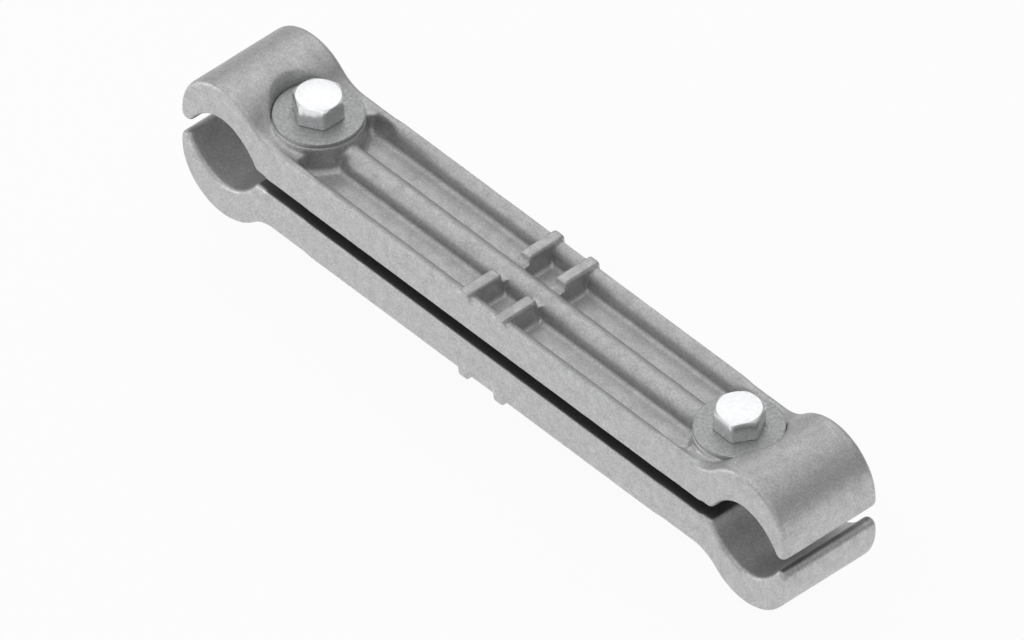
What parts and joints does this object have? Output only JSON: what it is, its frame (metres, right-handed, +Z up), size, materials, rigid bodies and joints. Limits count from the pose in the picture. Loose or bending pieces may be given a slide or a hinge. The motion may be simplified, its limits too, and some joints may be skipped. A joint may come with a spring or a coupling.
{
  "type": "conductor spacer",
  "caption": "Rigid overhead-line spacer: a split cast aluminium channel bar with a conductor clamp jaw at each end, drawn together by through bolts.",
  "frame": {"origin": "centre of the left conductor clamp, midway between the two cast halves", "axes": "+X along the spacer to the right clamp, +Y along the conductors, +Z up the bolts towards their heads"},
  "size_m": [0.3538, 0.0526, 0.0798],
  "materials": {
    "cast_aluminium": "matte as-cast skin with a fine mottled grain",
    "galvanised_steel": "dull hot-dip galvanised",
    "plated_steel": "bright zinc plated"
  },
  "bodies": {
    "lower_clamp": {"lower_casting": "cast_aluminium", "left_lower_washer": "galvanised_steel", "right_lower_washer": "galvanised_steel", "left_spring_washer": "plated_steel", "right_spring_washer": "plated_steel", "left_nut": "plated_steel", "right_nut": "plated_steel"},
    "upper_clamp": {"upper_casting": "cast_aluminium", "left_upper_washer": "galvanised_steel", "right_upper_washer": "galvanised_steel"},
    "left_bolt": {"left_bolt": "plated_steel"},
    "right_bolt": {"right_bolt": "plated_steel"}
  },
  "joints": [
    {"name": "clamp_travel", "type": "slide", "parent": "lower_clamp", "child": "upper_clamp", "axis": [0, 0, 1], "range_m": [-0.0063, 0.0039]},
    {"name": "left_bolt_turn", "type": "hinge", "parent": "upper_clamp", "child": "left_bolt", "pos_m": [0.0293, 0, 0], "axis": [0, 0, 1], "range_deg": [-1300, 820]},
    {"name": "right_bolt_turn", "type": "hinge", "parent": "upper_clamp", "child": "right_bolt", "pos_m": [0.2755, 0, 0], "axis": [0, 0, 1], "range_deg": [-1300, 820]}
  ],
  "couplings": [
    {"joint": "left_bolt_turn", "follows": "clamp_travel", "rad_per_m": 3590.4},
    {"joint": "right_bolt_turn", "follows": "clamp_travel", "rad_per_m": 3590.4}
  ]
}
